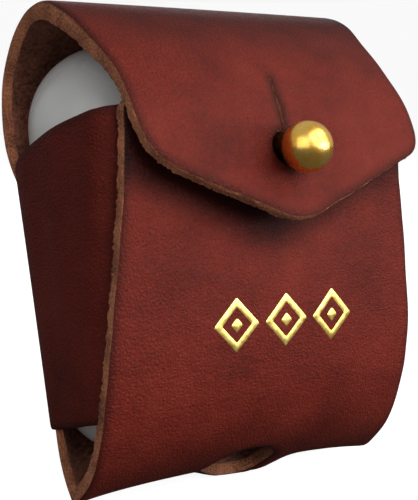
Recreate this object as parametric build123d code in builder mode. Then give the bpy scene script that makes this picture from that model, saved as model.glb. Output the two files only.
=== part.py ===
from build123d import *
import math
import os

# A stitchless leather flap case with a rounded white case in it, standing on its bottom fold.
# Millimetres. X runs across the front, Y from front to rear, Z up. The origin is at the bottom,
# in the middle. One main strap of leather runs down the front, under the contents and up the rear,
# and goes on over the top as a pointed flap. A side band wraps round the sides and the rear, and
# its two lapped ends are held behind the front panel by the screw of the stud that buttons the flap.

# Leather
LEATHER = 1.8                 # thickness of both hides
STRAP_WIDTH = 48.0            # main strap, at the body
FLAP_WIDTH = 45.0             # main strap, at the corners of the flap
GAP = 0.1                     # air between two layers that lie on each other

# Contents: a rounded case that leans back with the rear panel
CONTENTS_WIDTH = 44.3
CONTENTS_DEPTH = 20.6
CONTENTS_HEIGHT = 54.5
CONTENTS_CORNER = 11.0        # corner radius seen from the front
CONTENTS_EDGE = 10.2          # rounding of every edge
CONTENTS_CENTRE_Y = 5.6
CONTENTS_CENTRE_Z = 30.7
LEAN = 10.5                   # degrees from upright, top to the rear
SEAM_HEIGHT = 9.0             # lid seam above the contents' middle
SEAM_GAP = 0.2
HINGE_PLATE = (20.0, 5.0, 0.6)
PORT = (8.4, 3.0, 1.5)        # width, height and depth of the charging port
PORT_WALL = 0.5

# Side view of the main strap's outer face, from the top of the front panel down
PANEL_TOP_Y = -11.0
PANEL_TOP_Z = 49.0
PANEL_BOTTOM_Y = -11.9
FOLD_RADIUS = 15.0            # long curve at the front of the bottom fold
FOLD_TURN = 55.0              # degrees that the long curve turns
TOE_RADIUS = 3.2              # tight curve below it
HEEL_RADIUS = 6.0             # curve at the rear of the bottom fold
HEEL_TOP_Z = 6.2              # where the rear panel starts to hug the contents
WRAP_LOW_Z = 5.2              # where the hugging part starts, inside the heel
PANEL_WRAP = 5.4              # how far in front of the contents' rear face the rear panel's edges end

# Side view of the flap's outer face: radius and turn of each curve, from the hinge to the front
TOP_FOLD = (15.2, 132.5)
FLAP_SHOULDER = (45.0, 13.0)
FLAP_BEND = (12.0, 25.0)
FLAP_TRIM_Y = 2.0             # the strap is trimmed to the flap's outline in front of this
FLAP_TAPER_Z = 61.0           # where the strap starts to narrow
FLAP_CORNER_Z = 43.6          # where the straight sides end
FLAP_TIP_Z = 35.4             # lowest point of the flap
FLAP_CORNER_RADIUS = 5.0
FLAP_TIP_RADIUS = 6.0

# Side band, as a side view of its edges, and its corners seen from above
BAND_TOP = ((-14.0, 50.2), (3.0, 46.8), (26.0, 39.5))
BAND_BOTTOM = ((-14.0, 13.2), (26.0, 5.0))
BAND_FRONT_RADIUS = 4.0       # where it turns in behind the front panel
BAND_REAR_RADIUS = 13.0       # where it rounds the rear corners
LAP = 14.0                    # width over which its two ends lie on each other
LOOP_LOW_Z = 2.0              # the two heights between which the tapering loop is drawn
LOOP_HIGH_Z = 56.0

# Brass stud and its screw
STUD_Z = 44.5
BALL_RADIUS = 3.25
BALL_Y = -18.61               # its centre
NECK_RADIUS = 1.7
FLANGE_RADIUS = 3.0
FLANGE_THICKNESS = 0.7
FLANGE_ROUNDING = 0.23
SHANK_RADIUS = 1.2
SHANK_CLEARANCE = 0.05
SHANK_TIP_Y = -15.6           # front end of the screw, inside the ball
SCREW_HEAD_RADIUS = 3.8
SCREW_HEAD_THICKNESS = 0.9
SCREW_HEAD_ROUNDING = 0.3
SCREW_SLOT = (0.8, 0.45)      # width and depth

# Openings in the leather
BUTTONHOLE_RADIUS = 2.2
SLIT = (0.4, 7.0)             # width, and height above the buttonhole
PLUG_HOLE = (11.0, 9.6)       # across the strap, and from front to rear
PLUG_HOLE_Y = -2.4            # its middle
PLUG_HOLE_CUT = 12.0          # height of the cut, past the curves of the bottom fold

# Foil stamp on the front panel: a row of three open lozenges with a smaller one in each
FOIL_THICKNESS = 0.12
FOIL_LIFT = 0.02              # air behind it
FOIL_X = 1.0                  # its middle
FOIL_Z = 22.3
FOIL_SPACING = 8.0            # from one lozenge's middle to the next
LOZENGE = (7.0, 6.9)          # width and height
LOZENGE_INSIDE = 0.66         # size of the opening, as a share of the lozenge
LOZENGE_DOT = 0.26            # size of the small lozenge, as a share of the large one

FAR = 60.0                    # reach of cutting shapes, past the whole case

lean_cos = math.cos(math.radians(LEAN))
lean_sin = math.sin(math.radians(LEAN))
layer = LEATHER + GAP


def rear_face(z, outset):
    """Y, at height z, of the contents' leaning rear face moved out by outset."""
    face_y = CONTENTS_CENTRE_Y + CONTENTS_DEPTH / 2 * lean_cos
    face_z = CONTENTS_CENTRE_Z - CONTENTS_DEPTH / 2 * lean_sin
    return face_y + ((z - face_z) * lean_sin + outset) / lean_cos


# The fold's height follows from its curves, so that its lowest face is at Z = 0
fold_angle = math.radians(FOLD_TURN)
panel_bottom_z = FOLD_RADIUS * math.sin(fold_angle) + TOE_RADIUS * (1 - math.sin(fold_angle))
panel_slope = (PANEL_TOP_Y - PANEL_BOTTOM_Y) / (PANEL_TOP_Z - panel_bottom_z)


def panel_face(z, inset=0.0):
    """Y, at height z, of the front panel's outer face moved towards the contents by inset."""
    return PANEL_BOTTOM_Y + (z - panel_bottom_z) * panel_slope + inset


# The flap hinges just above the band, where the leather leaves the contents' flat rear face
upper_centre_z = CONTENTS_CENTRE_Z + (CONTENTS_HEIGHT / 2 - CONTENTS_EDGE) * lean_cos
hinge_z = upper_centre_z - (CONTENTS_DEPTH / 2 + layer) * lean_sin
hinge_y = rear_face(hinge_z, layer)

contents_plane = Plane(
    origin=(0, CONTENTS_CENTRE_Y, CONTENTS_CENTRE_Z),
    x_dir=(1, 0, 0),
    z_dir=(0, -lean_cos, lean_sin),
)
contents_up = Vector(0, lean_sin, lean_cos)
contents_rear = Vector(0, lean_cos, -lean_sin)
seam_plane = Plane(
    origin=contents_plane.origin + contents_up * SEAM_HEIGHT,
    x_dir=(1, 0, 0),
    z_dir=contents_up,
)
port_plane = Plane(
    origin=contents_plane.origin - contents_up * (CONTENTS_HEIGHT / 2),
    x_dir=(1, 0, 0),
    z_dir=contents_up,
)
hinge_plate_plane = Plane(
    origin=seam_plane.origin + contents_rear * (CONTENTS_DEPTH / 2),
    x_dir=(1, 0, 0),
    z_dir=-contents_rear,
)


def pebble(grow=0.0):
    """The contents' rounded outer shape, grown all round."""
    with BuildPart() as shape:
        with BuildSketch(contents_plane):
            RectangleRounded(
                CONTENTS_WIDTH + 2 * grow,
                CONTENTS_HEIGHT + 2 * grow,
                CONTENTS_CORNER + grow,
            )
        extrude(amount=CONTENTS_DEPTH / 2 + grow, both=True)
        fillet(shape.edges(), CONTENTS_EDGE + grow)
    return shape.part


def loop(inset):
    """The side band's tapering loop, filled in, drawn in by inset from the band's outer face."""
    with BuildPart() as shape:
        for z in (LOOP_LOW_Z, LOOP_HIGH_Z):
            front = panel_face(z, layer + inset)
            rear = rear_face(z, 2 * layer - inset)
            with BuildSketch(Plane.XY.offset(z)) as section:
                with Locations((0, (front + rear) / 2)):
                    Rectangle(STRAP_WIDTH - 2 * inset, rear - front)
                front_corners = section.vertices().group_by(Axis.Y)[0]
                fillet(front_corners, BAND_FRONT_RADIUS - inset)
                rear_corners = section.vertices().group_by(Axis.Y)[-1]
                fillet(rear_corners, BAND_REAR_RADIUS - inset)
        loft()
    return shape.part


band_outside = loop(0.0)
band_inside = loop(LEATHER)
rear_panel_outside = loop(layer)
rear_panel_inside = loop(layer + LEATHER)
contents_space = pebble(GAP)

# Main strap: front panel, bottom fold, and the rear panel that hugs the contents inside the band
with BuildPart() as main_strap:
    add(rear_panel_outside)
    add(rear_panel_inside, mode=Mode.SUBTRACT)
    with BuildSketch(Plane.YZ):
        wrap = PANEL_WRAP + layer
        Polygon(
            (rear_face(WRAP_LOW_Z, -PANEL_WRAP), WRAP_LOW_Z),
            (FAR, WRAP_LOW_Z),
            (hinge_y + FAR * lean_cos, hinge_z - FAR * lean_sin),
            (hinge_y - wrap * lean_cos, hinge_z + wrap * lean_sin),
            align=None,
        )
    extrude(amount=FAR, both=True, mode=Mode.INTERSECT)
    add(contents_space, mode=Mode.SUBTRACT)
    with BuildSketch(Plane.YZ):
        with BuildLine():
            heel_angle = math.radians(90 - LEAN)
            heel_end_z = HEEL_RADIUS * (1 - math.cos(heel_angle))
            heel_end_y = rear_face(heel_end_z, layer)
            heel_start_y = heel_end_y - HEEL_RADIUS * math.sin(heel_angle)
            panel = Line((PANEL_TOP_Y, PANEL_TOP_Z), (PANEL_BOTTOM_Y, panel_bottom_z))
            front_curve = JernArc(panel @ 1, (0, -1), FOLD_RADIUS, FOLD_TURN)
            toe = JernArc(front_curve @ 1, front_curve % 1, TOE_RADIUS, 90 - FOLD_TURN)
            floor = Line(toe @ 1, (heel_start_y, 0))
            heel = JernArc(floor @ 1, (1, 0), HEEL_RADIUS, 90 - LEAN)
            Line(heel @ 1, (rear_face(HEEL_TOP_Z, layer), HEEL_TOP_Z))
            offset(amount=-LEATHER, side=Side.LEFT)
        make_face()
    extrude(amount=STRAP_WIDTH / 2, both=True)
    with BuildSketch(Plane.XY):
        with Locations((0, PLUG_HOLE_Y)):
            Ellipse(PLUG_HOLE[0] / 2, PLUG_HOLE[1] / 2)
    extrude(amount=PLUG_HOLE_CUT, mode=Mode.SUBTRACT)
    with BuildSketch(Plane.XZ):
        with Locations((0, STUD_Z)):
            Circle(SHANK_RADIUS + GAP)
    extrude(amount=FAR, mode=Mode.SUBTRACT)
main_strap.part.label = "main_strap"

# Flap: the main strap's other end, from the hinge over the top to a rounded point
with BuildPart() as flap:
    with BuildSketch(Plane.YZ):
        with BuildLine():
            top = JernArc((hinge_y, hinge_z), (lean_sin, lean_cos), *TOP_FOLD)
            shoulder = JernArc(top @ 1, top % 1, *FLAP_SHOULDER)
            bend = JernArc(shoulder @ 1, shoulder % 1, *FLAP_BEND)
            hang = bend % 1
            drop = ((bend @ 1).Y - FLAP_TIP_Z) / -hang.Y
            Line(bend @ 1, (bend @ 1) + hang * drop)
            offset(amount=-LEATHER, side=Side.LEFT)
        make_face()
    extrude(amount=STRAP_WIDTH / 2, both=True)
    with BuildSketch(Plane.XZ.offset(-FLAP_TRIM_Y)) as trim:
        Rectangle(FAR, 2 * FAR)
        Polygon(
            (-STRAP_WIDTH / 2, FLAP_TAPER_Z),
            (-FLAP_WIDTH / 2, FLAP_CORNER_Z),
            (0, FLAP_TIP_Z),
            (FLAP_WIDTH / 2, FLAP_CORNER_Z),
            (STRAP_WIDTH / 2, FLAP_TAPER_Z),
            (STRAP_WIDTH / 2, FAR + STRAP_WIDTH),
            (-STRAP_WIDTH / 2, FAR + STRAP_WIDTH),
            align=None,
            mode=Mode.SUBTRACT,
        )
        corners = trim.vertices().filter_by_position(
            Axis.Y, FLAP_CORNER_Z - GAP, FLAP_CORNER_Z + GAP
        )
        fillet(corners, FLAP_CORNER_RADIUS)
        tip = trim.vertices().filter_by_position(Axis.Y, FLAP_TIP_Z - GAP, FLAP_TIP_Z + GAP)
        fillet(tip, FLAP_TIP_RADIUS)
    extrude(amount=FAR, mode=Mode.SUBTRACT)
    with BuildSketch(Plane.XZ):
        with Locations((0, STUD_Z)):
            Circle(BUTTONHOLE_RADIUS)
        with Locations((0, STUD_Z + (BUTTONHOLE_RADIUS + SLIT[1]) / 2)):
            Rectangle(SLIT[0], BUTTONHOLE_RADIUS + SLIT[1])
    extrude(amount=FAR, mode=Mode.SUBTRACT)
flap.part.label = "flap"

# Side band: tapering loop, trimmed to its sloping edges, with a stepped lap at the front
with BuildPart() as side_band:
    add(band_outside)
    add(band_inside, mode=Mode.SUBTRACT)
    with BuildSketch(Plane.YZ):
        with BuildLine():
            upper_edge = ThreePointArc(*BAND_TOP)
            rear_edge = Line(upper_edge @ 1, BAND_BOTTOM[1])
            lower_edge = Line(rear_edge @ 1, BAND_BOTTOM[0])
            Line(lower_edge @ 1, upper_edge @ 0)
        make_face()
    extrude(amount=STRAP_WIDTH, both=True, mode=Mode.INTERSECT)
    # the left end lies in front, and each end is thinned to half where they overlap
    with BuildSketch(Plane.YZ):
        Polygon(
            (panel_face(LOOP_LOW_Z, layer + LEATHER / 2 - GAP / 2), LOOP_LOW_Z),
            (panel_face(LOOP_LOW_Z, layer + LEATHER / 2 + GAP / 2), LOOP_LOW_Z),
            (panel_face(LOOP_HIGH_Z, layer + LEATHER / 2 + GAP / 2), LOOP_HIGH_Z),
            (panel_face(LOOP_HIGH_Z, layer + LEATHER / 2 - GAP / 2), LOOP_HIGH_Z),
            align=None,
        )
    extrude(amount=LAP / 2, both=True, mode=Mode.SUBTRACT)
    for side, front, rear in ((1, -GAP, LEATHER / 2), (-1, LEATHER / 2, LEATHER + GAP)):
        with BuildSketch(Plane.YZ.offset(side * LAP / 2)):
            Polygon(
                (panel_face(LOOP_LOW_Z, layer + front), LOOP_LOW_Z),
                (panel_face(LOOP_LOW_Z, layer + rear), LOOP_LOW_Z),
                (panel_face(LOOP_HIGH_Z, layer + rear), LOOP_HIGH_Z),
                (panel_face(LOOP_HIGH_Z, layer + front), LOOP_HIGH_Z),
                align=None,
            )
        extrude(amount=GAP / 2, both=True, mode=Mode.SUBTRACT)
    with BuildSketch(Plane.XZ):
        with Locations((0, STUD_Z)):
            Circle(SHANK_RADIUS + GAP)
    extrude(amount=FAR, mode=Mode.SUBTRACT)
side_band.part.label = "side_band"

# Stud: flange against the front panel, neck through the buttonhole, and a ball
flange_back_y = panel_face(STUD_Z, -GAP)
with BuildPart() as stud:
    with BuildSketch(Plane.XY.offset(STUD_Z)):
        with BuildLine():
            flange_front_y = flange_back_y - FLANGE_THICKNESS
            neck_end_y = BALL_Y + math.sqrt(BALL_RADIUS**2 - NECK_RADIUS**2)
            outline = Polyline(
                (0, flange_back_y),
                (FLANGE_RADIUS, flange_back_y),
                (FLANGE_RADIUS, flange_front_y),
                (NECK_RADIUS, flange_front_y),
                (NECK_RADIUS, neck_end_y),
            )
            ball = ThreePointArc(
                outline @ 1,
                (BALL_RADIUS, BALL_Y),
                (0, BALL_Y - BALL_RADIUS),
            )
            Line(ball @ 1, outline @ 0)
        make_face()
    revolve(axis=Axis((0, 0, STUD_Z), (0, 1, 0)))
    flange_rim = stud.edges().filter_by(GeomType.CIRCLE).group_by(Axis.Y)[-2]
    fillet(flange_rim, FLANGE_ROUNDING)
    with BuildSketch(Plane.XZ.offset(-flange_back_y)):
        with Locations((0, STUD_Z)):
            Circle(SHANK_RADIUS + SHANK_CLEARANCE)
    extrude(amount=flange_back_y - SHANK_TIP_Y + GAP, mode=Mode.SUBTRACT)
stud.part.label = "stud"

# Screw: goes through the lapped band ends and the front panel into the stud
screw_head_y = panel_face(STUD_Z, layer + LEATHER + GAP)
with BuildPart() as stud_screw:
    with BuildSketch(Plane.XZ.offset(-screw_head_y)):
        with Locations((0, STUD_Z)):
            Circle(SHANK_RADIUS)
    extrude(amount=screw_head_y - SHANK_TIP_Y)
    with BuildSketch(Plane.XZ.offset(-screw_head_y)):
        with Locations((0, STUD_Z)):
            Circle(SCREW_HEAD_RADIUS)
    extrude(amount=-SCREW_HEAD_THICKNESS)
    head_rim = stud_screw.edges().filter_by(GeomType.CIRCLE).sort_by(Axis.Y)[-1]
    fillet(head_rim, SCREW_HEAD_ROUNDING)
    with BuildSketch(Plane.XZ.offset(-screw_head_y - SCREW_HEAD_THICKNESS)):
        with Locations((0, STUD_Z)):
            Rectangle(2 * SCREW_HEAD_RADIUS, SCREW_SLOT[0])
    extrude(amount=SCREW_SLOT[1], mode=Mode.SUBTRACT)
stud_screw.part.label = "stud_screw"

# Foil stamp on the front panel
foil_plane = Plane(
    origin=(FOIL_X, panel_face(FOIL_Z, -FOIL_LIFT), FOIL_Z),
    x_dir=(1, 0, 0),
    z_dir=(0, -1, panel_slope),
)


def lozenge(share, mode=Mode.ADD):
    """A lozenge of the foil stamp, at a share of its full size."""
    width = LOZENGE[0] * share
    height = LOZENGE[1] * share
    Polygon((-width / 2, 0), (0, -height / 2), (width / 2, 0), (0, height / 2), mode=mode)


with BuildPart() as foil_stamp:
    with BuildSketch(foil_plane):
        with GridLocations(FOIL_SPACING, 1, 3, 1):
            lozenge(1.0)
            lozenge(LOZENGE_INSIDE, mode=Mode.SUBTRACT)
            lozenge(LOZENGE_DOT)
    extrude(amount=FOIL_THICKNESS)
foil_stamp.part.label = "foil_stamp"

contents = pebble()

# Contents, lower part, with pockets for the lid's hinge plate and the charging port
with BuildPart() as contents_base:
    add(contents)
    split(bisect_by=seam_plane.offset(-SEAM_GAP / 2), keep=Keep.BOTTOM)
    with BuildSketch(hinge_plate_plane):
        SlotOverall(HINGE_PLATE[0] + GAP, HINGE_PLATE[1] + GAP)
    extrude(amount=HINGE_PLATE[2], mode=Mode.SUBTRACT)
    with BuildSketch(port_plane):
        SlotOverall(PORT[0] + GAP, PORT[1] + GAP)
    extrude(amount=PORT[2] + GAP, mode=Mode.SUBTRACT)
contents_base.part.label = "contents_base"

# Contents, lid
with BuildPart() as contents_lid:
    add(contents)
    split(bisect_by=seam_plane.offset(SEAM_GAP / 2), keep=Keep.TOP)
    with BuildSketch(hinge_plate_plane):
        SlotOverall(HINGE_PLATE[0] + GAP, HINGE_PLATE[1] + GAP)
    extrude(amount=HINGE_PLATE[2], mode=Mode.SUBTRACT)
contents_lid.part.label = "contents_lid"

# Metal plate of the contents' lid hinge, let into the rear face across the seam
with BuildPart() as contents_hinge:
    with BuildSketch(hinge_plate_plane):
        SlotOverall(HINGE_PLATE[0], HINGE_PLATE[1])
    extrude(amount=HINGE_PLATE[2] - GAP / 2)
contents_hinge.part.label = "contents_hinge"

# Metal mouth of the charging port, over the plug hole
with BuildPart() as charging_port:
    with BuildSketch(port_plane.offset(GAP)):
        SlotOverall(PORT[0], PORT[1])
        SlotOverall(PORT[0] - 2 * PORT_WALL, PORT[1] - 2 * PORT_WALL, mode=Mode.SUBTRACT)
    extrude(amount=PORT[2] - GAP)
charging_port.part.label = "charging_port"

os.makedirs("parts", exist_ok=True)
for piece in (
    main_strap,
    flap,
    side_band,
    stud,
    stud_screw,
    foil_stamp,
    contents_base,
    contents_lid,
    contents_hinge,
    charging_port,
):
    export_step(piece.part, "parts/" + piece.part.label + ".step")
print("flap hinge at Y", round(hinge_y, 3), "Z", round(hinge_z, 3))
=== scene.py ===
import math

import bpy
import numpy as np
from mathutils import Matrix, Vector, geometry, noise


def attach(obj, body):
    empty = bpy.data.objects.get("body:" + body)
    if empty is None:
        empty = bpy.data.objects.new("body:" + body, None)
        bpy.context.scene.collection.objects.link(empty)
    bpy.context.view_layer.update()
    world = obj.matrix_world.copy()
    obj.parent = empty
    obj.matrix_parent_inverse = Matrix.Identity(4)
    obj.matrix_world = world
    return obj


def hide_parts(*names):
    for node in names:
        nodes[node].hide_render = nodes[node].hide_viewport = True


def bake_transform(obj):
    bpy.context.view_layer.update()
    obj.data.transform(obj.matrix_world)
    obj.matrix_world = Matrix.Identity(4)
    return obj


# The looks of a stitchless leather flap case round a white rounded case.
# Shapes are worked out in millimetres, and become metres when a mesh is made.

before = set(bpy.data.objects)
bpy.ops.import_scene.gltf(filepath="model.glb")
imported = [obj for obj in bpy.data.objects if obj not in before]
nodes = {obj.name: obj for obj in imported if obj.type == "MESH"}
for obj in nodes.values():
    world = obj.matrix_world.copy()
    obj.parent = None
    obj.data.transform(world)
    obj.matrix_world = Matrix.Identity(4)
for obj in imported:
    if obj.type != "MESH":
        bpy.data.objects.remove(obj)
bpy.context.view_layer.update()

MM = 0.001
THICKNESS = 1.8               # of the hide
HALF_WIDTH = 24.0             # of the strap

# ---------------------------------------------------------------- shape of the main strap

# Side view of the strap's outer face from the top of the front panel, under the contents and
# over the top to the tip of the flap: middle y, z; edge x, y, z; how late the surface turns
# from the middle to the edge; and what share of the thickness the edge is skived away by,
# which is below zero where the bent edge swells
STRAP_STATIONS = np.array(
    [
        (-11.2, 49.0, 24.0, -11.0, 49.0, 2.5, 0.0),
        (-11.4, 42.0, 24.0, -11.3, 42.0, 2.5, 0.0),
        (-12.5, 34.0, 24.0, -11.7, 34.0, 2.3, 0.0),
        (-13.5, 27.0, 24.0, -12.0, 27.0, 2.2, 0.0),
        (-13.6, 19.0, 24.0, -12.0, 18.6, 2.2, 0.0),
        (-12.3, 11.8, 24.0, -10.9, 11.8, 2.4, 0.0),
        (-9.3, 5.6, 23.9, -8.5, 5.3, 2.4, 0.0),
        (-5.0, 1.9, 23.9, -5.2, 1.5, 2.6, 0.0),
        (-0.3, 0.6, 23.9, -2.7, 0.1, 3.0, 0.0),
        (4.6, 0.8, 23.6, -0.6, 1.1, 3.2, 0.1),
        (9.2, 2.6, 22.8, 3.0, 4.3, 3.4, 0.2),
        (12.6, 6.4, 22.0, 5.7, 8.6, 4.0, 0.4),
        (14.3, 11.2, 21.4, 7.3, 13.6, 5.0, 0.5),
        (15.3, 16.0, 21.2, 8.9, 18.0, 6.0, 0.5),
        (16.4, 22.0, 21.2, 9.8, 23.0, 6.0, 0.5),
        (17.9, 30.0, 21.3, 11.1, 30.2, 6.0, 0.5),
        (19.3, 37.5, 22.4, 12.8, 37.2, 5.4, 0.3),
        (20.7, 45.2, 23.4, 15.6, 44.2, 3.4, 0.0),
        (20.7, 51.6, 23.4, 16.4, 50.7, 3.0, 0.0),
        (17.7, 58.1, 23.6, 14.0, 56.8, 2.8, -0.1),
        (12.0, 61.8, 23.9, 9.1, 61.3, 2.6, -0.2),
        (5.4, 62.8, 24.0, 4.0, 62.6, 2.5, -0.4),
        (-1.1, 61.3, 24.0, -0.9, 61.0, 2.4, -0.5),
        (-5.9, 58.4, 24.0, -4.4, 58.0, 2.4, -0.5),
        (-10.2, 54.5, 24.0, -8.7, 54.0, 2.4, -0.2),
        (-13.3, 49.6, 24.0, -12.4, 49.3, 2.3, 0.0),
        (-15.0, 44.6, 24.0, -14.3, 44.4, 2.2, 0.0),
        (-16.7, 39.8, 24.0, -15.9, 39.8, 2.2, 0.0),
        (-18.4, 35.3, 24.0, -17.4, 35.3, 2.2, 0.0),
    ]
)
middle_steps = np.diff(STRAP_STATIONS[:, :2], axis=0)
strap_knots = np.concatenate([[0.0], np.cumsum(np.hypot(*middle_steps.T))])
STRAP_LENGTH = strap_knots[-1]


def smooth_curve(rows, knots, at):
    """Smooth curve through rows, which stand at knots along it, read at the places in at."""
    slopes = np.gradient(rows, knots, axis=0)
    i = np.clip(np.searchsorted(knots, at, side="right") - 1, 0, len(knots) - 2)
    gap = (knots[i + 1] - knots[i])[:, None]
    t = (at - knots[i])[:, None] / gap
    start = (1 + 2 * t) * (1 - t) ** 2 * rows[i] + t * (1 - t) ** 2 * gap * slopes[i]
    end = t * t * (3 - 2 * t) * rows[i + 1] + t * t * (t - 1) * gap * slopes[i + 1]
    return start + end


def strap_surface(u, v):
    """Outer face of the main strap at u across it and v along it."""
    row = smooth_curve(STRAP_STATIONS, strap_knots, v).T
    mid_y, mid_z, edge_x, edge_y, edge_z, power, _ = row
    side = np.abs(u) / HALF_WIDTH
    share = side**power
    x = u / HALF_WIDTH * edge_x
    y = mid_y + (edge_y - mid_y) * share
    z = mid_z + (edge_z - mid_z) * share
    return np.stack([x, y, z], axis=1) + rim_sag(u, v)


def strap_thickness(u, v):
    """Thickness of the hide, which changes towards its edges."""
    skive = smooth_curve(STRAP_STATIONS, strap_knots, v)[:, 6]
    return THICKNESS * (1 - skive * (np.abs(u) / HALF_WIDTH) ** 4)


def strap_place(height, first, last):
    """Place along the strap where its middle reaches a height, between two stations."""
    v = np.linspace(strap_knots[first], strap_knots[last], 400)
    z = smooth_curve(STRAP_STATIONS, strap_knots, v)[:, 1]
    return v[np.argmin(np.abs(z - height))]


# Places along the strap, from the top of the front panel. Most come from a height on its middle.
PANEL_TOP_V = -0.9
PANEL_SHOULDER_V = 8.0
plug_hole_ends = (strap_place(4.5, 5, 7), strap_place(0.68, 7, 8))
PLUG_HOLE_V = sum(plug_hole_ends) / 2
PLUG_HOLE_HALF = (5.7, (plug_hole_ends[1] - plug_hole_ends[0]) / 2)
FOLD_V = strap_place(18.0, 3, 6)
HEEL_V = strap_knots[11]
HEEL_END_V = HEEL_V + 6
SEAM_V = strap_place(31.0, 14, 16)
TAPER_V = strap_place(62.0, 21, 24)
SHOULDER_V = strap_place(54.5, 22, 25)
CORNER_V = strap_place(44.0, 25, 28)
BUTTONHOLE_V = strap_place(44.4, 25, 28)
BUTTONHOLE_RADIUS = 2.4
SLIT_WIDTH = 0.42
SLIT_HEIGHT = 7.2
SEAM_GAP = 0.05               # between the strap's body and its flap

# Half widths where the hand-cut outline leaves the strap's own
PANEL_LEFT = 21.8
PANEL_RIGHT = 23.1
FOLD_HALF = 25.0
FLAP_LEFT = 21.7
FLAP_RIGHT = 24.2

# The rear rim of the plug hole hangs a little lower than the fold round it
SAG = 1.5
SAG_REACH = (6.6, 2.6)
SAG_SHIFT = 3.2
SAG_FORWARD = 0.2             # share of the sag that goes forward too


def rim_sag(u, v):
    rim = PLUG_HOLE_V + PLUG_HOLE_HALF[1]
    across = (u - SAG_SHIFT) / SAG_REACH[0]
    along = (v - rim) / SAG_REACH[1]
    drop = SAG * np.exp(-(across**4) - along**2)
    return np.stack([0 * drop, -SAG_FORWARD * drop, -drop], axis=1)


# ---------------------------------------------------------------- shape of the side band

BAND_FRONT_RADIUS = 4.0
BAND_REAR_RADIUS = 13.0
BAND_LAP = 7.0                # how far each end goes past the middle of the front
LAP_RAMP = 2.0                # length over which the lapped ends thin and part
LAP_SKIVE = 0.53              # share of the thickness cut away from each lapped end
LAP_GAP = 0.05
LAYER = 1.9                   # the hide and the gap before the next layer
PANEL_Y = (-11.0, -11.9)      # front panel's face in the CAD model, at its top and bottom
PANEL_Z = (49.0, 12.87)
REAR_FACE = (15.7275, 28.823)  # y and z of a place on the rear panel's face
LEAN = math.radians(10.5)     # of the rear panel
BAND_TOP = ((-14.0, 50.3), (3.0, 46.3), (20.0, 38.6))  # y and z along the upper edge
BAND_BOTTOM = ((-14.0, 12.6), (26.0, 2.6))
BAND_MID_Z = 30.0
BAND_BULGE = 0.35             # outward, in the middle of each side
BAND_PULL = 0.7               # inward, at the bottom of the rear corners, in x and in y
BAND_PULL_TOP = 45.0
BAND_PULL_POWER = 0.8

top_edge = np.polyfit(*np.array(BAND_TOP).T, 2)
bottom_edge = np.polyfit(*np.array(BAND_BOTTOM).T, 1)


def band_front(z):
    """Y of the band's outer face behind the front panel."""
    slope = (PANEL_Y[0] - PANEL_Y[1]) / (PANEL_Z[0] - PANEL_Z[1])
    return PANEL_Y[1] + (z - PANEL_Z[1]) * slope + LAYER


def band_rear(z):
    """Y of the band's outer face outside the rear panel."""
    return REAR_FACE[0] + ((z - REAR_FACE[1]) * math.sin(LEAN) + 2 * LAYER) / math.cos(LEAN)


def band_side_length(z):
    """Length of the flat part of each side."""
    return band_rear(z) - BAND_REAR_RADIUS - band_front(z) - BAND_FRONT_RADIUS


rear_flat = HALF_WIDTH - BAND_REAR_RADIUS
front_flat = HALF_WIDTH - BAND_FRONT_RADIUS
band_turns = np.cumsum(
    [
        rear_flat,
        BAND_REAR_RADIUS * math.pi / 2,
        band_side_length(BAND_MID_Z),
        BAND_FRONT_RADIUS * math.pi / 2,
        front_flat + BAND_LAP,
    ]
)
BAND_HALF_LENGTH = band_turns[-1]


def band_lap(a):
    """How far into its lapped end the band is: from 0 before it to 1 in it."""
    return np.clip((a - band_turns[3] - front_flat + BAND_LAP + LAP_RAMP) / LAP_RAMP, 0, 1)


def band_surface(s, z):
    """Outer face of the side band, at s round it from the middle of the rear, and at height z."""
    a = np.abs(s)
    rear, corner, side, turn, _ = band_turns
    angle = np.clip((a - rear) / BAND_REAR_RADIUS, 0, math.pi / 2)
    along = np.clip((a - corner) / (side - corner), 0, 1)
    bend = np.clip((a - side) / BAND_FRONT_RADIUS, 0, math.pi / 2)
    x = np.minimum(a, rear_flat) + BAND_REAR_RADIUS * np.sin(angle)
    x -= BAND_FRONT_RADIUS * (1 - np.cos(bend)) + np.maximum(a - turn, 0)
    x += BAND_BULGE * np.sin(math.pi * along) ** 2
    y = band_rear(z) - BAND_REAR_RADIUS * (1 - np.cos(angle))
    y = y - along * band_side_length(z) - BAND_FRONT_RADIUS * np.sin(bend)
    # low down the rear corners draw in round the contents
    pull = BAND_PULL * np.clip((BAND_PULL_TOP - z) / BAND_PULL_TOP, 0, 1) ** BAND_PULL_POWER
    pull = pull * (np.sin(2 * angle) + np.sin(angle) * np.cos(math.pi / 2 * along) ** 2)
    x, y = x - pull, y - pull
    # the right end lies behind the left end where they lap
    y = y + np.where(s > 0, band_lap(a) * (THICKNESS / 2 + LAP_GAP), 0)
    return np.stack([np.sign(s) * x, y, z], axis=1)


def band_thickness(s, z):
    return THICKNESS * (1 - LAP_SKIVE * band_lap(np.abs(s))) + 0 * z


# ---------------------------------------------------------------- painted shade on the hide

# Shares of painted shade, and how far each reaches in millimetres
HOLE_DARK, HOLE_REACH = 0.60, 5.0
HOLE_MARGIN = 1.0             # beyond the hole's half width
SLIT_DARK, SLIT_DARK_BARE = 0.55, 0.10
SLIT_REACH = (0.6, 6.0)       # across and along
TOP_DARK, TOP_REACH, TOP_V = 0.65, 9.5, strap_knots[22] - 2
TOP_LOPSIDED = 0.12           # how much more painted shade the top bend has on the right
FOLD_DARK, FOLD_REACH = 0.34, 10.0
# painted shadow that the flap casts on the front panel
FLAP_SHADOW_DARK = 0.78
FLAP_SHADOW_START = 6.5           # how far below the flap's edge the painted shadow starts
FLAP_SHADOW_REACH = 6.0
FLAP_EDGE_Z = (35.3, 8.7)     # height of the flap's lower edge: its tip, and its rise to a side
FLAP_EDGE_HALF = 22.0
# painted shade on the band's grain, darkest at the floor
BAND_DARK, BAND_DARK_REACH = 0.22, 14.0


def smooth_hump(distance):
    return np.exp(-(distance**2))


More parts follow.
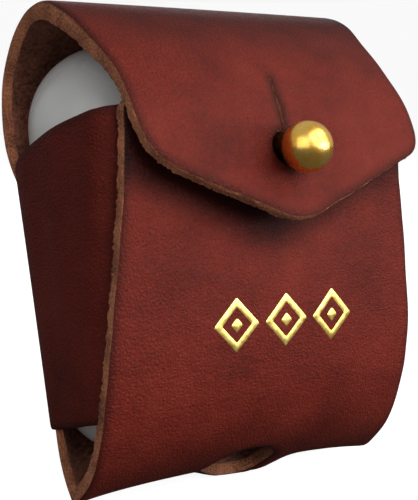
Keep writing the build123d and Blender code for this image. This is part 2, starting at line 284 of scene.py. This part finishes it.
def strap_painted_shade(u, v, bare):
    """Painted shade, as a share of the hide's colour that stays. Bare is its cut edges and flesh
    side, which get only the painted shade of the plug hole and the slit.
    """
    # painted shade in and round the plug hole, and along the slit
    from_hole = np.hypot(u / (PLUG_HOLE_HALF[0] + HOLE_MARGIN), (v - PLUG_HOLE_V) / HOLE_REACH)
    hole = smooth_hump(from_hole**2)
    slit_middle = BUTTONHOLE_V - SLIT_HEIGHT / 2
    slit = smooth_hump(u / SLIT_REACH[0]) * smooth_hump((v - slit_middle) / SLIT_REACH[1])
    hole_and_slit_shade = (1 - HOLE_DARK * hole) * (1 - (SLIT_DARK_BARE if bare else SLIT_DARK) * slit)
    if bare:
        return hole_and_slit_shade
    # painted shade over the top bend and at the bottom fold, where the hide turns away from the
    # lamps
    top = smooth_hump((v - TOP_V) / TOP_REACH) * (1 + TOP_LOPSIDED * u / HALF_WIDTH)
    fold = smooth_hump((v - strap_knots[7]) / FOLD_REACH)
    bent = (1 - TOP_DARK * top) * (1 - FOLD_DARK * fold)
    # and a painted shadow of the flap on the panel below its edge
    flap_edge = FLAP_EDGE_Z[0] + FLAP_EDGE_Z[1] * np.abs(u) / FLAP_EDGE_HALF
    flap_shadow = np.clip((PANEL_Z[0] - v - flap_edge + FLAP_SHADOW_START) / FLAP_SHADOW_REACH, 0, 1)
    return hole_and_slit_shade * bent * (1 - FLAP_SHADOW_DARK * flap_shadow * flap_shadow * (3 - 2 * flap_shadow))


def band_painted_shade(s, z, bare):
    # painted shade towards the floor, on the grain side only
    return 1 - (0.0 if bare else BAND_DARK) * smooth_hump(z / BAND_DARK_REACH)


# ---------------------------------------------------------------- flat patterns


def rounded(corners, radii, step=0.28):
    """Closed outline with its corners rounded, as points about one step apart."""
    corners = [np.array(c, float) for c in corners]
    path = []
    for i, corner in enumerate(corners):
        before = corners[i - 1] - corner
        after = corners[(i + 1) % len(corners)] - corner
        before /= np.linalg.norm(before)
        after /= np.linalg.norm(after)
        half = math.acos(np.clip(before @ after, -1, 1)) / 2
        reach = radii[i] / math.tan(half)
        start, end = corner + before * reach, corner + after * reach
        for t in np.linspace(0, 1, 9):
            path.append((1 - t) ** 2 * start + 2 * t * (1 - t) * corner + t * t * end)
    return even(path, step)


def even(path, step):
    """A closed path's points, evenly spaced about one step apart."""
    path = np.array(list(path) + [path[0]])
    run = np.concatenate([[0], np.cumsum(np.linalg.norm(np.diff(path, axis=0), axis=1))])
    keep = np.concatenate([[True], np.diff(run) > 1e-9])
    at = np.linspace(0, run[-1], max(12, round(run[-1] / step)) + 1)[:-1]
    return np.stack([np.interp(at, run[keep], path[keep, k]) for k in (0, 1)], axis=1)


def oval(centre, half_u, half_v, step=0.26):
    """Closed oval outline."""
    angles = np.linspace(0, 2 * math.pi, 80, endpoint=False)
    ring = [(centre[0] + half_u * math.cos(a), centre[1] + half_v * math.sin(a)) for a in angles]
    return even(ring, step)


def keyhole(centre, radius, width, height, step=0.3):
    """A round buttonhole with a thin slit that runs up from it, wavers and tapers."""
    start = math.asin(width / 2 / radius)
    angles = np.linspace(start, 2 * math.pi - start, 48)
    ring = [(centre[0] + radius * math.sin(a), centre[1] - radius * math.cos(a)) for a in angles]
    shares = np.linspace(0.1, 1, 24)
    for side, way in ((-1, shares), (1, shares[::-1])):
        for t in way:
            waver = 0.14 * math.sin(9 * t) * t
            half = width / 2 * (1 - 0.7 * t**3)
            ring.append((centre[0] + waver + side * half, centre[1] - radius - height * t))
    return even(ring, step)


def ragged(loop, amount, size, seed):
    """The loop cut a little unevenly by hand."""
    outward = loop_normals(loop)
    shift = [noise.noise(Vector((p[0] / size, p[1] / size, seed))) for p in loop]
    return loop + outward * np.array(shift)[:, None] * amount


def anticlockwise(loop):
    area = np.sum(loop[:, 0] * np.roll(loop[:, 1], -1) - loop[:, 1] * np.roll(loop[:, 0], -1))
    return area > 0


def loop_normals(loop):
    """Directions out of a closed loop, one at each of its points."""
    along = np.roll(loop, -1, axis=0) - np.roll(loop, 1, axis=0)
    along /= np.linalg.norm(along, axis=1)[:, None]
    return np.stack([along[:, 1], -along[:, 0]], axis=1) * (1 if anticlockwise(loop) else -1)


def inside(points, loop):
    """Whether each point is inside a closed loop."""
    x, y = points[:, 0][:, None], points[:, 1][:, None]
    x0, y0 = loop.T
    x1, y1 = np.roll(loop, -1, axis=0).T
    crosses = (y0 > y) != (y1 > y)
    rise = np.where(y1 == y0, 1e-12, y1 - y0)
    return np.sum(crosses & (x < (x1 - x0) * (y - y0) / rise + x0), axis=1) % 2 == 1


def nearest(points, loops):
    """Distance from each point to the nearest point of any loop."""
    best = np.full(len(points), 1e9)
    for loop in loops:
        for part in np.array_split(np.arange(len(points)), max(1, len(points) // 2000)):
            gap = np.linalg.norm(points[part][:, None] - loop[None], axis=2)
            best[part] = np.minimum(best[part], gap.min(axis=1))
    return best


RING_KEEP = 0.93              # share of its own distance that a ring's point keeps from all loops
GRID_KEEP = 0.45              # and of the spacing that the grid keeps from the last ring


def fill(outline, holes, spacing, rings):
    """Points and triangles that fill a flat outline with holes. The loops' points come first."""
    loops = [outline, *holes]
    points = [*loops]
    for ring in rings:
        for i, loop in enumerate(loops):
            inward = -loop_normals(loop) if i == 0 else loop_normals(loop)
            moved = loop + inward * ring
            points.append(moved[nearest(moved, loops) > ring * RING_KEEP])
    low, high = outline.min(axis=0), outline.max(axis=0)
    across = np.arange(low[0], high[0], spacing)
    along = np.arange(low[1], high[1], spacing * 0.866)  # rows of equal triangles
    grid = np.array([(x + (j % 2) * spacing / 2, y) for j, y in enumerate(along) for x in across])
    grid = grid[inside(grid, outline)]
    grid = grid[nearest(grid, loops) > rings[-1] + spacing * GRID_KEEP]
    points = np.concatenate([*points, grid])
    edges = []
    start = 0
    for loop in loops:
        n = len(loop)
        edges += [(start + i, start + (i + 1) % n) for i in range(n)]
        start += n
    made = geometry.delaunay_2d_cdt([Vector(p) for p in points], edges, [], 0, 1e-7)
    flat = np.array([tuple(p) for p in made[0]])
    triangles = np.array([f for f in made[2] if len(f) == 3])
    centres = flat[triangles].mean(axis=1)
    keep = inside(centres, outline)
    for hole in holes:
        keep &= ~inside(centres, hole)
    return flat, triangles[keep], loops


SLOPE_STEP = 0.02


def raised(surface, thickness, flat, depth):
    """Points below an outer surface: depth is a share of the thickness there."""
    u, v = flat.T
    across = surface(u + SLOPE_STEP, v) - surface(u - SLOPE_STEP, v)
    along = surface(u, v + SLOPE_STEP) - surface(u, v - SLOPE_STEP)
    out = np.cross(along, across)
    out /= np.linalg.norm(out, axis=1)[:, None]
    return surface(u, v) - out * (depth * thickness(u, v))[:, None]


# A cut edge from the grain down to the flesh: shares of the thickness, and how far it swells
EDGE_LEVELS = np.array([0.09, 0.22, 0.38, 0.54, 0.70, 0.84, 0.94])
EDGE_BULGE = np.array([0.00, 0.07, 0.10, 0.10, 0.08, 0.04, -0.04])
GRAIN_ROUNDING = 0.22         # how far in from a cut the grain side rounds over
FLESH_ROUNDING = 0.30
EDGE_RINGS = (0.28, 0.75)     # rings of points that follow each cut
EDGE_UV = (0.36, 0.26)        # size of one wall face in the material's pattern


def tufts(loop, level, seed):
    """How far the fibres of a cut stand out along a loop, at one level of the thickness."""
    coarse = [noise.noise(Vector((*(p * 1.2), seed + level * 3))) for p in loop]
    fine = [noise.noise(Vector((*(p * 3.3), seed + level * 7))) for p in loop]
    return (0.35 * np.array(coarse) + fine) * (0.5 + level)


GRAIN, CUT, FLESH = 0, 1, 2   # material slots of a piece of leather


def leather(name, surface, thickness, painted_shade, outline, holes, spacing=0.9, fuzz=0.2, seed=1.0):
    """A cut piece of hide: grain side, flesh side, and a wall of cut fibres round every loop."""
    flat, triangles, loops = fill(outline, holes, spacing, EDGE_RINGS)
    outwards = [loop_normals(loop) * (1 if k == 0 else -1) for k, loop in enumerate(loops)]
    starts = np.cumsum([0] + [len(loop) for loop in loops])
    gap = nearest(flat, loops)
    grain_depth = EDGE_LEVELS[0] * np.exp(-gap / GRAIN_ROUNDING)
    flesh_depth = 1 - (1 - EDGE_LEVELS[-1]) * np.exp(-gap / FLESH_ROUNDING)
    flesh = flat.copy()
    for start, loop, outward in zip(starts, loops, outwards):
        frayed = fuzz * tufts(loop, EDGE_LEVELS[-1], seed)
        flesh[start : start + len(loop)] += outward * frayed[:, None]
    points = [raised(surface, thickness, flat, grain_depth)]
    points.append(raised(surface, thickness, flesh, flesh_depth))
    rim = [gap, gap]
    shades = [painted_shade(*flat.T, False), painted_shade(*flat.T, True)]
    count = len(flat)
    faces = [tuple(t) for t in triangles]
    faces += [tuple(t[::-1] + count) for t in triangles]
    corner_uv = [flat[i] for t in triangles for i in t]
    corner_uv += [flat[i] for t in triangles for i in t[::-1]]
    material = [GRAIN] * len(triangles) + [FLESH] * len(triangles)
    total = 2 * count
    for k, (start, loop, outward) in enumerate(zip(starts, loops, outwards)):
        n = len(loop)
        flip = anticlockwise(loop) != (k == 0)
        run = np.concatenate([[0], np.cumsum(np.linalg.norm(np.diff(loop, axis=0), axis=1))])
        levels = [np.arange(start, start + n)]
        for level, bulge in zip(EDGE_LEVELS[1:-1], EDGE_BULGE[1:-1]):
            moved = loop + outward * (bulge + fuzz * tufts(loop, level, seed))[:, None]
            points.append(raised(surface, thickness, moved, np.full(n, level)))
            rim.append(np.zeros(n))
            shades.append(painted_shade(*loop.T, True))
            levels.append(np.arange(total, total + n))
            total += n
        levels.append(np.arange(start, start + n) + count)
        for j, (upper, lower) in enumerate(zip(levels, levels[1:])):
            top, bottom = j * EDGE_UV[1], (j + 1) * EDGE_UV[1]
            for i in range(n):
                m = (i + 1) % n
                near, far = run[i], run[i] + EDGE_UV[0]
                quad = [upper[i], lower[i], lower[m], upper[m]]
                place = [(near, top), (near, bottom), (far, bottom), (far, top)]
                if flip:
                    quad, place = quad[::-1], place[::-1]
                faces.append(tuple(quad))
                corner_uv += place
                material.append(CUT)
    points = np.concatenate(points) * MM
    made = mesh_object(name, points, faces, np.array(corner_uv) * MM, material)
    # rim drives the rubbed border; the other attribute holds the painted shade that darkens the
    # colours
    for key, values in (("rim", rim), ("painted_shade", shades)):
        attribute = made.data.attributes.new(key, "FLOAT", "POINT")
        attribute.data.foreach_set("value", np.concatenate(values).astype(np.float32))
    return made


def mesh_object(name, points, faces, corner_uv=None, material=None):
    """A new smooth-shaded object, sharp only at its steep edges."""
    mesh = bpy.data.meshes.new(name)
    mesh.from_pydata([tuple(p) for p in points], [], [tuple(int(i) for i in f) for f in faces])
    if corner_uv is not None:
        layer = mesh.uv_layers.new(name="flat")
        layer.data.foreach_set("uv", np.asarray(corner_uv, np.float32).ravel())
    if material is not None:
        mesh.polygons.foreach_set("material_index", np.asarray(material, np.int32))
    mesh.polygons.foreach_set("use_smooth", [True] * len(mesh.polygons))
    mesh.update()
    mesh.set_sharp_from_angle(angle=math.radians(35))
    made = bpy.data.objects.new(name, mesh)
    bpy.context.scene.collection.objects.link(made)
    return made


# ---------------------------------------------------------------- materials

PER_MM = 1000.0               # materials see metres; their patterns are sized in millimetres


def add(tree, kind, sockets=None, **settings):
    """A shader node, with its settings, and its sockets set or linked."""
    made = tree.nodes.new("ShaderNode" + kind)
    for key, value in settings.items():
        setattr(made, key, value)
    for key, value in (sockets or {}).items():
        if isinstance(value, bpy.types.NodeSocket):
            tree.links.new(value, made.inputs[key])
        else:
            made.inputs[key].default_value = value
    return made


def start_material(name):
    """A new material, its node tree and its shader."""
    made = bpy.data.materials.new(name)
    made.use_nodes = True
    return made, made.node_tree, made.node_tree.nodes["Principled BSDF"]


def colour_ramp(tree, value, stops):
    """A colour read from stops, which are positions and colours."""
    ramp = add(tree, "ValToRGB", {"Fac": value})
    while len(ramp.color_ramp.elements) < len(stops):
        ramp.color_ramp.elements.new(0.5)
    for element, (position, colour) in zip(ramp.color_ramp.elements, stops):
        element.position = position
        element.color = (*colour, 1)
    return ramp.outputs["Color"]


def math_node(tree, operation, a, b=0.0, clamp=False):
    made = add(tree, "Math", operation=operation, use_clamp=clamp)
    for socket, value in zip(made.inputs, (a, b)):
        if isinstance(value, bpy.types.NodeSocket):
            tree.links.new(value, socket)
        else:
            socket.default_value = value
    return made.outputs["Value"]


def stretched(tree, source, scale):
    """Places multiplied by a scale in each direction."""
    return add(tree, "Mapping", {"Vector": source, "Scale": scale}).outputs["Vector"]


def spread(tree, value, source, target=(0.0, 1.0)):
    """A value moved from one range to another, and kept inside it."""
    ends = ("From Min", "From Max", "To Min", "To Max")
    sockets = dict(zip(ends, (*source, *target)))
    return add(tree, "MapRange", {"Value": value, **sockets}).outputs["Result"]


def weighted(tree, *terms):
    """Sum of values, each times its weight."""
    total = None
    for value, weight in terms:
        term = value if weight == 1 else math_node(tree, "MULTIPLY", value, weight)
        total = term if total is None else math_node(tree, "ADD", total, term)
    return total


def gaps(tree, distance, steepness, depth):
    """From a cell pattern's distance: a height that dips at its zero, and how much painted shade
    the dip gets.
    """
    height = math_node(tree, "MULTIPLY", distance, steepness, clamp=True)
    return height, math_node(tree, "MULTIPLY", math_node(tree, "SUBTRACT", 1.0, height), depth)


def mix(tree, share, a, b, blend="MIX"):
    """Colour a blended into colour b by a share."""
    made = add(tree, "Mix", data_type="RGBA", blend_type=blend)
    for index, value in ((0, share), (6, a), (7, b)):
        if isinstance(value, bpy.types.NodeSocket):
            tree.links.new(value, made.inputs[index])
        elif index == 0:
            made.inputs[index].default_value = value
        else:
            made.inputs[index].default_value = (*value, 1)
    return made.outputs[2]


def with_painted_shade(tree, colour):
    """The colour, darkened by the painted shade that each point of the mesh holds."""
    painted_shade = add(tree, "Attribute", attribute_name="painted_shade").outputs["Fac"]
    return mix(tree, 1.0, colour, painted_shade, "MULTIPLY")


def grain_material(name, dark, middle, light, burnish_and_dip_shade, roughness=0.56):
    """Grain side of vegetable-tanned hide: mottled dye, fine pebble and pores with painted shade
    in their dips, darker near cuts.
    """
    made, tree, shader = start_material(name)
    flat = add(tree, "UVMap", uv_map="flat").outputs["UV"]
    place = stretched(tree, flat, (PER_MM,) * 3)
    # the dye: wide clouds, streaks along the hide, and specks
    cloud = add(tree, "TexNoise", {"Vector": place, "Scale": 0.07, "Detail": 5, "Roughness": 0.62})
    streak_at = stretched(tree, place, (0.12, 0.35, 1))
    streak = add(tree, "TexNoise", {"Vector": streak_at, "Scale": 1.0, "Detail": 4}).outputs["Fac"]
    speck = add(tree, "TexNoise", {"Vector": place, "Scale": 1.5, "Detail": 3, "Roughness": 0.7})
    speck = speck.outputs["Fac"]
    dye = weighted(tree, (cloud.outputs["Fac"], 0.55), (streak, 0.13), (speck, 0.32))
    colour = colour_ramp(tree, dye, ((0.36, dark), (0.50, middle), (0.66, light)))
    # the grain: creases between uneven pebbles, and pores, both with painted shade
    warp = add(tree, "TexNoise", {"Vector": place, "Scale": 0.8, "Detail": 2}).outputs["Color"]
    sockets = {0: warp, 1: (0.7, 0.7, 0.7), 2: place}
    bent = add(tree, "VectorMath", sockets, operation="MULTIPLY_ADD").outputs[0]
    pebbles = add(tree, "TexVoronoi", {"Vector": bent, "Scale": 1.9}, feature="DISTANCE_TO_EDGE")
    pores = add(tree, "TexVoronoi", {"Vector": bent, "Scale": 1.1, "Randomness": 1.0})
    crease, crease_shade = gaps(tree, pebbles.outputs["Distance"], 3.2, 0.16)
    pore, pore_shade = gaps(tree, pores.outputs["Distance"], 5.5, 0.45)
    # painted shade in the creases and pores
    colour = mix(tree, crease_shade, colour, burnish_and_dip_shade)
    colour = mix(tree, pore_shade, colour, burnish_and_dip_shade)
    # the rubbed border along each cut
    rim = add(tree, "Attribute", attribute_name="rim").outputs["Fac"]
    colour = mix(tree, spread(tree, rim, (0.0, 1.3), (0.7, 0.0)), colour, burnish_and_dip_shade)
    tree.links.new(with_painted_shade(tree, colour), shader.inputs["Base Color"])
    rough = spread(tree, speck, (0.3, 0.7), (roughness - 0.07, roughness + 0.09))
    tree.links.new(rough, shader.inputs["Roughness"])
    shader.inputs["Specular IOR Level"].default_value = 0.11
    height = weighted(tree, (crease, 1), (pore, 1.2), (speck, 1.6), (streak, 1))
    bump = add(tree, "Bump", {"Height": height, "Strength": 0.55, "Distance": 0.00011})
    tree.links.new(bump.outputs["Normal"], shader.inputs["Normal"])
    return made


def fibre_material(name, dark, light, along, relief=0.0004):
    """Cut edge or flesh side: loose fibres, matt, dark between lighter tufts. Along is the tufts
    per millimetre in the two directions of the pattern."""
    made, tree, shader = start_material(name)
    flat = add(tree, "UVMap", uv_map="flat").outputs["UV"]
    place = stretched(tree, flat, (PER_MM * along[0], PER_MM * along[1], PER_MM))
    tuft = add(tree, "TexNoise", {"Vector": place, "Scale": 1.0, "Detail": 6, "Roughness": 0.72})
    tuft = tuft.outputs["Fac"]
    wide = add(tree, "TexNoise", {"Vector": flat, "Scale": 220.0, "Detail": 3}).outputs["Fac"]
    fibres = weighted(tree, (tuft, 0.65), (wide, 0.35))
    colour = colour_ramp(tree, fibres, ((0.38, dark), (0.62, light)))
    tree.links.new(with_painted_shade(tree, colour), shader.inputs["Base Color"])
    shader.inputs["Roughness"].default_value = 0.9
    shader.inputs["Specular IOR Level"].default_value = 0.1
    shader.inputs["Sheen Weight"].default_value = 0.06
    shader.inputs["Sheen Roughness"].default_value = 0.5
    bump = add(tree, "Bump", {"Height": tuft, "Strength": 1.0, "Distance": relief})
    tree.links.new(bump.outputs["Normal"], shader.inputs["Normal"])
    return made


# colour of the painted shade on the stud's neck and flange, under the ball
NECK_SHADE_COLOUR = (0.16, 0.085, 0.025)


def metal_material(name, dark, light, roughness, scale=900.0, wear=0.03, shade_span=None):
    """Metal with faint uneven polish. The last argument is the y where a painted shade starts, and
    where it is full.
    """
    made, tree, shader = start_material(name)
    place = add(tree, "TexCoord").outputs["Object"]
    cloud = add(tree, "TexNoise", {"Vector": place, "Scale": scale, "Detail": 4}).outputs["Fac"]
    colour = colour_ramp(tree, cloud, ((0.35, dark), (0.65, light)))
    if shade_span:
        # painted shade between two heights in y
        depth = add(tree, "SeparateXYZ", {"Vector": place}).outputs["Y"]
        colour = mix(tree, spread(tree, depth, shade_span), colour, NECK_SHADE_COLOUR)
    tree.links.new(colour, shader.inputs["Base Color"])
    shader.inputs["Metallic"].default_value = 1.0
    rough = spread(tree, cloud, (0.3, 0.7), (roughness, roughness + wear))
    tree.links.new(rough, shader.inputs["Roughness"])
    bump = add(tree, "Bump", {"Height": cloud, "Strength": 0.12, "Distance": 0.00002})
    tree.links.new(bump.outputs["Normal"], shader.inputs["Normal"])
    return made


def plastic_material(name, dark, light, roughness):
    """Glossy moulded plastic with a trace of handling marks."""
    made, tree, shader = start_material(name)
    place = add(tree, "TexCoord").outputs["Object"]
    cloud = add(tree, "TexNoise", {"Vector": place, "Scale": 60.0, "Detail": 3}).outputs["Fac"]
    colour = colour_ramp(tree, cloud, ((0.3, dark), (0.7, light)))
    tree.links.new(colour, shader.inputs["Base Color"])
    tree.links.new(spread(tree, cloud, (0.3, 0.7), roughness), shader.inputs["Roughness"])
    return made


def give(piece, *materials):
    """Fill a piece's material slots. Each face keeps the slot that it has."""
    slots = piece.data.materials
    for i, made in enumerate(materials):
        if i < len(slots):
            slots[i] = made
        else:
            slots.append(made)


# ---------------------------------------------------------------- pieces

strap_grain = grain_material(
    "strap_grain",
    dark=(0.078, 0.0082, 0.0050),
    middle=(0.140, 0.0148, 0.0084),
    light=(0.200, 0.025, 0.0150),
    burnish_and_dip_shade=(0.036, 0.006, 0.004),
)
band_grain = grain_material(
    "band_grain",
    dark=(0.064, 0.0078, 0.0050),
    middle=(0.110, 0.0126, 0.0078),
    light=(0.150, 0.021, 0.0130),
    burnish_and_dip_shade=(0.022, 0.004, 0.003),
    roughness=0.62,
)
cut_edge = fibre_material("cut_edge", (0.095, 0.022, 0.012), (0.820, 0.320, 0.160), (3.0, 4.2))
band_edge = fibre_material("band_edge", (0.022, 0.007, 0.005), (0.080, 0.028, 0.018), (2.6, 3.6))
flesh_side = fibre_material(
    "flesh_side", (0.070, 0.024, 0.014), (0.490, 0.175, 0.105), (1.1, 1.5), relief=0.0005
)
NECK_SHADE_SPAN = (-0.0166, -0.0158)  # painted shade on the neck and flange, under the bright ball
brass = metal_material(
    "polished_brass", (0.98, 0.54, 0.09), (1.00, 0.64, 0.16), 0.25, shade_span=NECK_SHADE_SPAN
)
foil_gold = metal_material(
    "gold_foil", (0.95, 0.63, 0.13), (1.00, 0.80, 0.26), 0.30, scale=1600.0, wear=0.12
)
steel = metal_material("steel", (0.45, 0.45, 0.46), (0.60, 0.60, 0.61), 0.30)
white_plastic = plastic_material(
    "white_plastic", (0.67, 0.69, 0.68), (0.73, 0.75, 0.75), (0.22, 0.30)
)

LONG_CUT = (0.16, 5.0)        # how far the knife strays on the strap, and over what length

panel_outline = rounded(
    [
        (-PANEL_LEFT, PANEL_TOP_V),
        (PANEL_RIGHT, PANEL_TOP_V),
        (PANEL_RIGHT + 0.3, PANEL_SHOULDER_V),
        (FOLD_HALF + 0.4, FOLD_V),
        (FOLD_HALF, HEEL_V),
        (HALF_WIDTH, HEEL_END_V),
        (HALF_WIDTH, SEAM_V),
        (-HALF_WIDTH, SEAM_V),
        (-HALF_WIDTH, HEEL_END_V),
        (-FOLD_HALF + 0.7, HEEL_V),
        (-FOLD_HALF, FOLD_V),
        (-PANEL_LEFT - 0.2, PANEL_SHOULDER_V),
    ],
    (0.9, 0.9, 30.0, 60.0, 8.0, 8.0, 0.2, 0.2, 8.0, 8.0, 60.0, 30.0),
)
plug_hole = oval((0.0, PLUG_HOLE_V), *PLUG_HOLE_HALF)
strap_body = leather(
    "strap_body",
    strap_surface,
    strap_thickness,
    strap_painted_shade,
    ragged(panel_outline, *LONG_CUT, 3.0),
    [ragged(plug_hole, 0.25, 1.6, 7.0)],
    seed=2.0,
)
give(strap_body, strap_grain, cut_edge, flesh_side)
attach(strap_body, "root")
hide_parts("main_strap")

flap_outline = rounded(
    [
        (-HALF_WIDTH, SEAM_V + SEAM_GAP),
        (HALF_WIDTH, SEAM_V + SEAM_GAP),
        (HALF_WIDTH - 0.5, TAPER_V),
        (FLAP_RIGHT - 0.9, SHOULDER_V),
        (FLAP_RIGHT, CORNER_V),
        (0.0, STRAP_LENGTH),
        (-FLAP_LEFT, CORNER_V),
        (-FLAP_LEFT, SHOULDER_V),
        (-HALF_WIDTH, TAPER_V),
    ],
    (0.2, 0.2, 14.0, 16.0, 4.0, 9.0, 10.0, 12.0, 14.0),
)
buttonhole = keyhole((0.0, BUTTONHOLE_V), BUTTONHOLE_RADIUS, SLIT_WIDTH, SLIT_HEIGHT)
flap_leather = leather(
    "flap_leather",
    strap_surface,
    strap_thickness,
    strap_painted_shade,
    ragged(flap_outline, *LONG_CUT, 11.0),
    [ragged(buttonhole, 0.12, 0.7, 13.0)],
    seed=5.0,
)
give(flap_leather, strap_grain, cut_edge, flesh_side)
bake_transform(flap_leather)
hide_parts("flap")


def band_height(a, edge):
    """Height of one edge of the band at a round it, closed in on from the middle height."""
    z = np.full(len(a), BAND_MID_Z)
    for _ in range(6):
        z = np.polyval(edge, band_surface(a, z)[:, 1])
    return z


round_band = np.linspace(-BAND_HALF_LENGTH, BAND_HALF_LENGTH, 400)
upper = np.stack([round_band, band_height(round_band, top_edge)], axis=1)
lower = np.stack([round_band, band_height(round_band, bottom_edge)], axis=1)
band_outline = even([*lower, *upper[::-1]], 0.55)
band = leather(
    "side_band_leather",
    band_surface,
    band_thickness,
    band_painted_shade,
    ragged(band_outline, 0.12, 6.0, 17.0),
    [],
    spacing=1.0,
    fuzz=0.05,
    seed=8.0,
)
give(band, band_grain, band_edge, flesh_side)
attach(band, "root")
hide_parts("side_band")

# Foil stamp: three open lozenges, each with a small one in it, on the crowned panel
FOIL_X = 1.0
FOIL_V = strap_place(22.3, 0, 6)
FOIL_SPACING = 8.0
LOZENGE = (3.5, 3.45)         # half width and half height
LOZENGE_OPENING = 0.66        # sizes as shares of the whole lozenge
LOZENGE_MIDDLE = 0.26
LOZENGE_CORNER = 0.08
FOIL_EDGE = 0.015             # how far the foil stands out at its edge
FOIL_SWELL = 0.10             # and how much more in the middle of a stroke
FOIL_ROUNDING = 0.25
FOIL_SUNK = 0.02


def lozenge(centre, share):
    half_u, half_v = LOZENGE[0] * share, LOZENGE[1] * share
    cu, cv = centre
    corners = [(cu - half_u, cv), (cu, cv - half_v), (cu + half_u, cv), (cu, cv + half_v)]
    return rounded(corners, (LOZENGE_CORNER,) * 4, 0.3)


def one_millimetre(u, v):
    return np.ones(len(u))


def foil_piece(outline, holes):
    """Points and faces of one raised foil shape on the strap."""
    flat, triangles, loops = fill(outline, holes, 0.5, (0.12,))
    stand_out = FOIL_EDGE + FOIL_SWELL * (1 - np.exp(-nearest(flat, loops) / FOIL_ROUNDING))
    top = raised(strap_surface, one_millimetre, flat, -stand_out)
    low = raised(strap_surface, one_millimetre, flat, np.full(len(flat), FOIL_SUNK))
    n = len(flat)
    faces = [tuple(t) for t in triangles] + [tuple(t[::-1] + n) for t in triangles]
    start = 0
    for k, loop in enumerate(loops):
        flip = anticlockwise(loop) != (k == 0)
        for i in range(len(loop)):
            a, b = start + i, start + (i + 1) % len(loop)
            quad = (a, a + n, b + n, b)
            faces.append(quad[::-1] if flip else quad)
        start += len(loop)
    return np.concatenate([top, low]) * MM, faces


foil_points, foil_faces = [], []
for column in (-1, 0, 1):
    centre = (FOIL_X + column * FOIL_SPACING, FOIL_V)
    for shape in (
        (lozenge(centre, 1.0), [lozenge(centre, LOZENGE_OPENING)]),
        (lozenge(centre, LOZENGE_MIDDLE), []),
    ):
        points, faces = foil_piece(*shape)
        offset = sum(len(p) for p in foil_points)
        foil_points.append(points)
        foil_faces += [tuple(i + offset for i in f) for f in faces]
foil = mesh_object("foil_ornament", np.concatenate(foil_points), foil_faces)
give(foil, foil_gold)
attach(foil, "root")
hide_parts("foil_stamp")

for name, finish in (
    ("stud", brass),
    ("stud_screw", brass),
    ("contents_base", white_plastic),
    ("contents_lid", white_plastic),
    ("contents_hinge", steel),
    ("charging_port", steel),
):
    give(nodes[name], finish)

# ---------------------------------------------------------------- floor, light and camera

FLOOR_Z = -0.001              # under the sagging rim of the plug hole
FLOOR_HALF = 4.0
FLOOR_GREY = 0.12             # what the case is lit by
FLOOR_GREY_SEEN = 0.4         # what the camera sees, which glows too
FLOOR_GLOW_SEEN = 0.90
SKY = 0.13
SKY_REFLECTED = 0.32          # more than SKY in reflections
SKY_SEEN = 0.82               # and behind the case
WARM = (1.0, 0.97, 0.94)
COOL = (0.96, 0.98, 1.0)


def area_light(name, place, target, size, power, colour=(1, 1, 1)):
    """A rectangular lamp that faces a target."""
    data = bpy.data.lights.new(name, "AREA")
    data.shape = "RECTANGLE"
    data.size, data.size_y = size
    data.energy = power
    data.color = colour
    made = bpy.data.objects.new(name, data)
    bpy.context.scene.collection.objects.link(made)
    made.location = place
    made.rotation_mode = "QUATERNION"
    made.rotation_quaternion = (Vector(target) - Vector(place)).to_track_quat("-Z", "Y")
    return made


corners = [(FLOOR_HALF * x, FLOOR_HALF * y, 0) for x, y in ((-1, -1), (1, -1), (1, 1), (-1, 1))]
floor = mesh_object("floor", corners, [(0, 1, 2, 3)])
floor.location.z = FLOOR_Z
floor_finish, floor_tree, floor_shader = start_material("floor_paper")
floor_seen = add(floor_tree, "LightPath").outputs["Is Camera Ray"]
floor_colour = mix(floor_tree, floor_seen, (FLOOR_GREY,) * 3, (FLOOR_GREY_SEEN,) * 3)
floor_tree.links.new(floor_colour, floor_shader.inputs["Base Color"])
floor_glow = math_node(floor_tree, "MULTIPLY", floor_seen, FLOOR_GLOW_SEEN)
floor_tree.links.new(floor_glow, floor_shader.inputs["Emission Strength"])
floor_shader.inputs["Emission Color"].default_value = (1, 1, 1, 1)
floor_shader.inputs["Roughness"].default_value = 0.9
floor_shader.inputs["Specular IOR Level"].default_value = 0.1
give(floor, floor_finish)

CASE = (0.0, 0.0, 0.032)
area_light("key", (0.27, -0.56, 0.46), CASE, (1.0, 0.9), 6.2, WARM)
area_light("glow", (0.26, -0.92, 0.62), CASE, (1.6, 1.1), 5.2, WARM)
area_light("low", (0.53, -0.70, 0.10), CASE, (0.9, 0.2), 2.6, COOL)
area_light("rear", (0.55, 0.80, 0.22), CASE, (0.6, 0.4), 2.4)
area_light("fill", (-0.66, -0.40, 0.30), CASE, (0.8, 0.7), 2.1, WARM)

world = bpy.data.worlds.new("studio")
bpy.context.scene.world = world
world.use_nodes = True
sky = world.node_tree
background = sky.nodes["Background"]
paths = add(sky, "LightPath").outputs
extra = weighted(sky, (paths["Is Glossy Ray"], SKY_REFLECTED), (paths["Is Camera Ray"], SKY_SEEN))
strength = math_node(sky, "ADD", extra, SKY)
sky.links.new(strength, background.inputs["Strength"])
background.inputs["Color"].default_value = (1, 1, 1, 1)
bpy.context.scene.view_settings.view_transform = "Standard"

camera_data = bpy.data.cameras.new("camera")
camera_data.lens = 93.63
camera_data.sensor_width = 36.0
camera = bpy.data.objects.new("camera", camera_data)
bpy.context.scene.collection.objects.link(camera)
camera.location = (-0.1066, -0.1390, 0.0475)
AZIMUTH, ELEVATION = math.radians(-37.21), math.radians(5.62)  # from the case to the camera
back = Vector(
    (
        math.sin(AZIMUTH) * math.cos(ELEVATION),
        -math.cos(AZIMUTH) * math.cos(ELEVATION),
        math.sin(ELEVATION),
    )
)
camera.rotation_mode = "QUATERNION"
camera.rotation_quaternion = back.to_track_quat("Z", "Y")
camera_data.clip_start = 0.005
camera_data.clip_end = 50
bpy.context.scene.camera = camera
